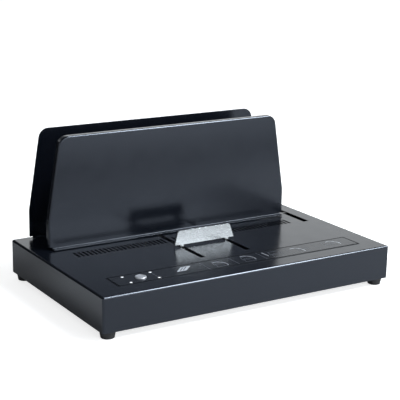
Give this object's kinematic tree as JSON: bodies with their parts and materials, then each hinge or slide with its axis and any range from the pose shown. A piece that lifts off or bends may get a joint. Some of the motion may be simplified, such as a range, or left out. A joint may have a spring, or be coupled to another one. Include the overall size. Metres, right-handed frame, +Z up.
{
  "type": "thermal binding machine",
  "caption": "Low black box on rubber feet with a heated trough between two upright plates; the front plate slides on a brushed handle to clamp a document by its spine.",
  "frame": {"origin": "middle of the footprint, on the table under the rubber feet", "axes": "+X to the user's right along the long side, -Y towards the user who works the handle, +Z up"},
  "size_m": [0.42, 0.2672, 0.1995],
  "materials": {
    "black_paint": "smooth semi-gloss black powder coat",
    "dark_sheet": "satin black paint",
    "plated_steel": "black-passivated zinc plate",
    "ground_rod": "ground and polished rod",
    "brushed_aluminium": "brushed",
    "heater_aluminium": "milled, slightly heat-stained",
    "trough_steel": "plain zinc-coated sheet",
    "foot_rubber": "matte moulded rubber",
    "overlay_film": "satin printed film",
    "button_plastic": "silver-lacquered moulding",
    "bearing_plastic": "natural acetal",
    "black_plastic": "moulded, fine texture",
    "light_plastic": "milky light guide",
    "board_laminate": "solder mask",
    "insulation_fibre": "pressed mineral fibre",
    "element_mica": "wound mica sheet",
    "sensor_ceramic": "unglazed ceramic and tin",
    "contact_brass": "nickel-tinted brass",
    "core_steel": "lacquered laminations",
    "component_plastic": "moulded"
  },
  "bodies": {
    "root": {"top_cover": "black_paint", "back_plate": "black_paint", "base_pan": "dark_sheet", "corner_gussets": "dark_sheet", "foot_screws": "plated_steel", "rod_supports": "plated_steel", "fuse_clip": "plated_steel", "trough_posts": "plated_steel", "board_posts": "plated_steel", "guide_rod_left": "ground_rod", "guide_rod_right": "ground_rod", "heating_plate": "heater_aluminium", "heater_trough": "trough_steel", "rubber_feet": "foot_rubber", "panel_overlay": "overlay_film", "power_inlet": "black_plastic", "rocker_housing": "black_plastic", "button_switch": "black_plastic", "buzzer": "black_plastic", "heater_relay": "black_plastic", "light_pipes": "light_plastic", "control_board": "board_laminate", "power_board": "board_laminate", "insulation_pad": "insulation_fibre", "heating_element": "element_mica", "thermostat": "sensor_ceramic", "thermal_fuse": "sensor_ceramic", "inlet_pins": "contact_brass", "transformer": "core_steel", "capacitor": "component_plastic", "terminal_block": "component_plastic"},
    "carriage": {"front_plate": "black_paint", "slide_arm_left": "plated_steel", "slide_arm_right": "plated_steel", "handle": "brushed_aluminium", "carriage_deck": "plated_steel", "bearing_housing_left": "black_plastic", "bearing_housing_right": "black_plastic", "slide_bushes": "bearing_plastic"},
    "start_button": {"start_button": "button_plastic", "switch_plunger": "light_plastic"},
    "power_rocker": {"mains_rocker": "black_plastic"}
  },
  "joints": [
    {"name": "front_plate_slide", "type": "slide", "parent": "root", "child": "carriage", "axis": [0, -1, 0], "range_m": [-0.052, 0.05]},
    {"name": "start_button_press", "type": "slide", "parent": "root", "child": "start_button", "axis": [0, 0, -1], "range_m": [0, 0.001], "stiffness_N_per_m": 400, "springref_m": -0.0015},
    {"name": "mains_rocker_tilt", "type": "hinge", "parent": "root", "child": "power_rocker", "pos_m": [-0.186, 0.1282, 0.0315], "axis": [1, 0, 0], "range_deg": [0, 18]}
  ]
}
